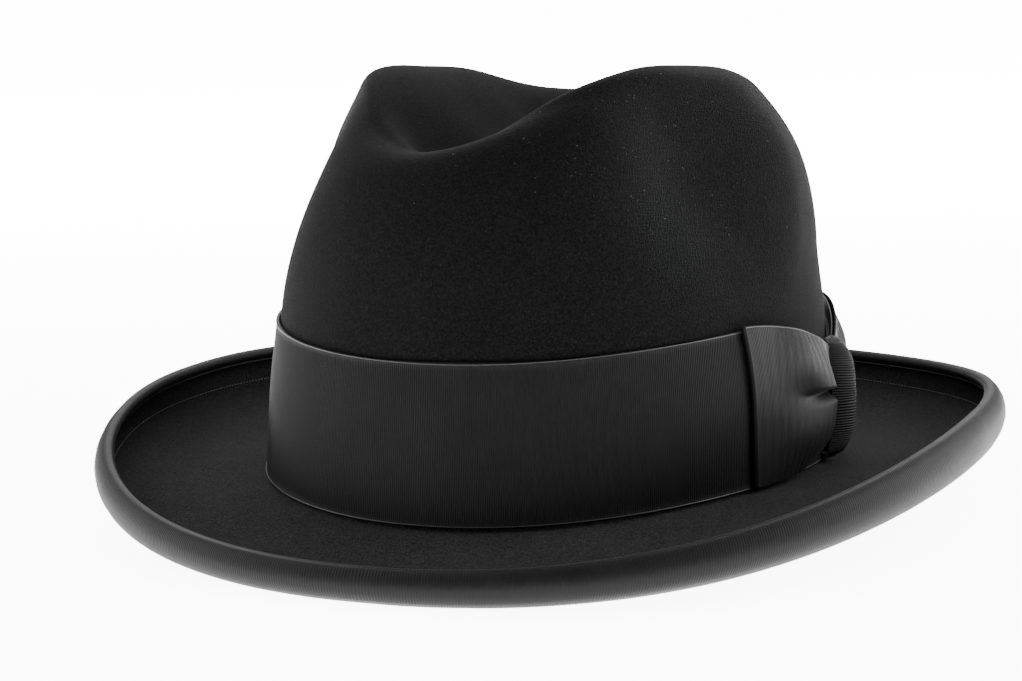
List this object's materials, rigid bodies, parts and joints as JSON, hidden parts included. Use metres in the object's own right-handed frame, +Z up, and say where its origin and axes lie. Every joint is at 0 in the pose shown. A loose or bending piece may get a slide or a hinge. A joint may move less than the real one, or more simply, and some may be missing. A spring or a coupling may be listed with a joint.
{
  "type": "homburg hat",
  "caption": "Black felt hat with a stiff brim curled up and bound at its edge, a deep centre crease and two front pinches in the crown, a wide ribbed band and a flat bow at the wearer's left.",
  "frame": {"origin": "on the surface that the hat rests on, below the middle of its outline seen from above", "axes": "+Z up, -Y to the front of the hat, +X to the wearer's left, where the bow sits"},
  "size_m": [0.2852, 0.301, 0.1406],
  "materials": {
    "fur_felt": "brushed black fur felt, matt with a soft nap",
    "grosgrain_ribbon": "ribbed black grosgrain with a faint sheen"
  },
  "bodies": {
    "root": {"felt_hood": "fur_felt", "hat_band": "grosgrain_ribbon", "brim_binding": "grosgrain_ribbon", "bow_front_leaf": "grosgrain_ribbon", "bow_back_leaf": "grosgrain_ribbon", "bow_knot": "grosgrain_ribbon"}
  },
  "joints": []
}
